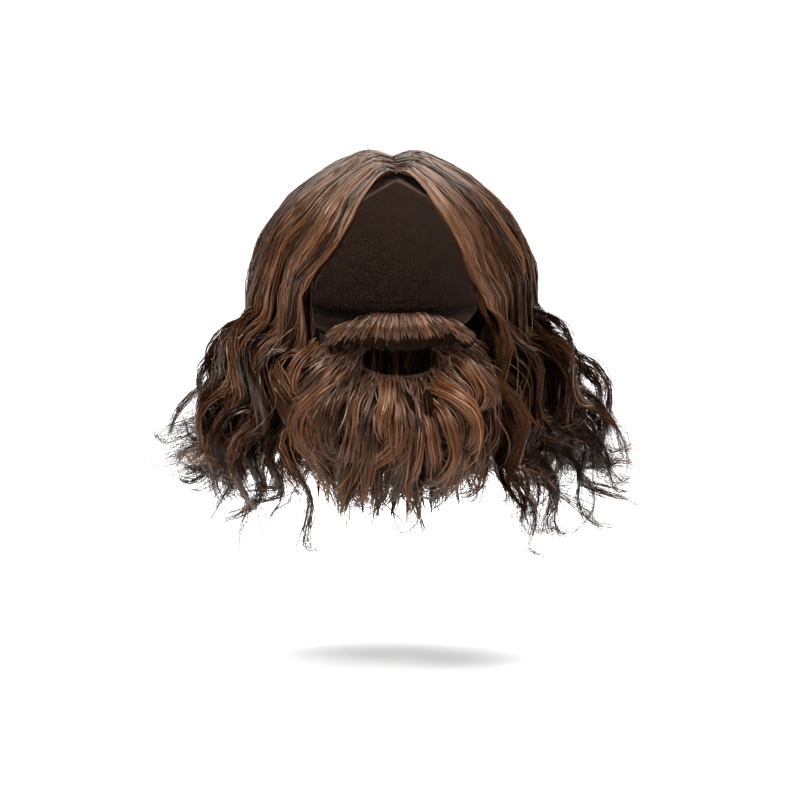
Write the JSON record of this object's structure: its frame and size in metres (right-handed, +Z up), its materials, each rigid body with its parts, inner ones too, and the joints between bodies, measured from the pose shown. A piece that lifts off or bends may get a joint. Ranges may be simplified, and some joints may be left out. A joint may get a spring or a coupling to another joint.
{
  "type": "wig and beard set",
  "caption": "Wavy brown shoulder-length wig with a centre parting on a fitted cap, with a matching full beard and moustache on a net held by an elastic strap.",
  "frame": {"origin": "inside of the wig cap at the crown, where the top of the wearer's head touches it", "axes": "+X towards the wearer's left, -Y towards the front where the face looks, +Z up"},
  "size_m": [0.39, 0.3322, 0.3003],
  "materials": {
    "wig_hair": "synthetic brown hair, satin, in wavy locks",
    "beard_hair": "synthetic brown hair, satin, curled under",
    "cap_fabric": "dark stretch mesh with rows of sewn hair wefts, matt",
    "parting_fabric": "skin-toned lace, matt",
    "net_fabric": "brown net, matt",
    "elastic": "flat woven elastic, matt"
  },
  "bodies": {
    "root": {"wig_cap": "cap_fabric", "parting_strip": "parting_fabric", "left_front_hair": "wig_hair", "left_temple_hair": "wig_hair", "left_side_hair": "wig_hair", "left_rear_hair": "wig_hair", "left_back_hair": "wig_hair", "left_nape_curls": "wig_hair", "right_front_hair": "wig_hair", "right_temple_hair": "wig_hair", "right_side_hair": "wig_hair", "right_rear_hair": "wig_hair", "right_back_hair": "wig_hair", "right_nape_curls": "wig_hair", "beard_net": "net_fabric", "moustache": "beard_hair", "chin_hair": "beard_hair", "left_cheek_hair": "beard_hair", "right_cheek_hair": "beard_hair", "beard_elastic": "elastic"}
  },
  "joints": []
}
